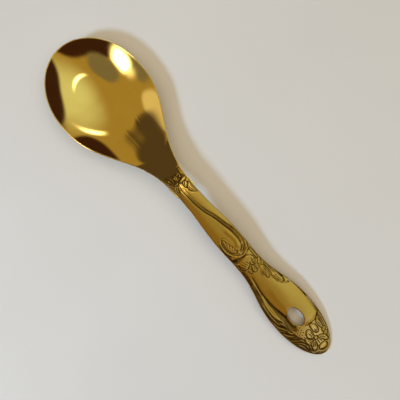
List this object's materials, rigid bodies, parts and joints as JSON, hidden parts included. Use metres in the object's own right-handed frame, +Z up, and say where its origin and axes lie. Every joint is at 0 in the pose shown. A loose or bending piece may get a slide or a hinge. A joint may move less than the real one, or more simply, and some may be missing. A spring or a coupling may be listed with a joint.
{
  "type": "rice serving spoon",
  "caption": "Gold-toned metal serving spoon with a wide egg-shaped bowl, a slim arched neck and a waisted, floral struck handle with an oval hanging hole.",
  "frame": {"origin": "on the table the spoon lies on, midway along its length and width", "axes": "+X from the bowl's tip towards the handle's end, +Y across the spoon, +Z up out of the bowl"},
  "size_m": [0.245, 0.0612, 0.0189],
  "materials": {
    "polished_brass": "mirror polished, with fine wiping scratches",
    "struck_brass": "polished high spots with darker toning in the struck recesses",
    "braze_filler": "pale satin filler metal, filed flush"
  },
  "bodies": {
    "root": {"bowl": "polished_brass", "handle": "struck_brass", "braze": "braze_filler"}
  },
  "joints": []
}
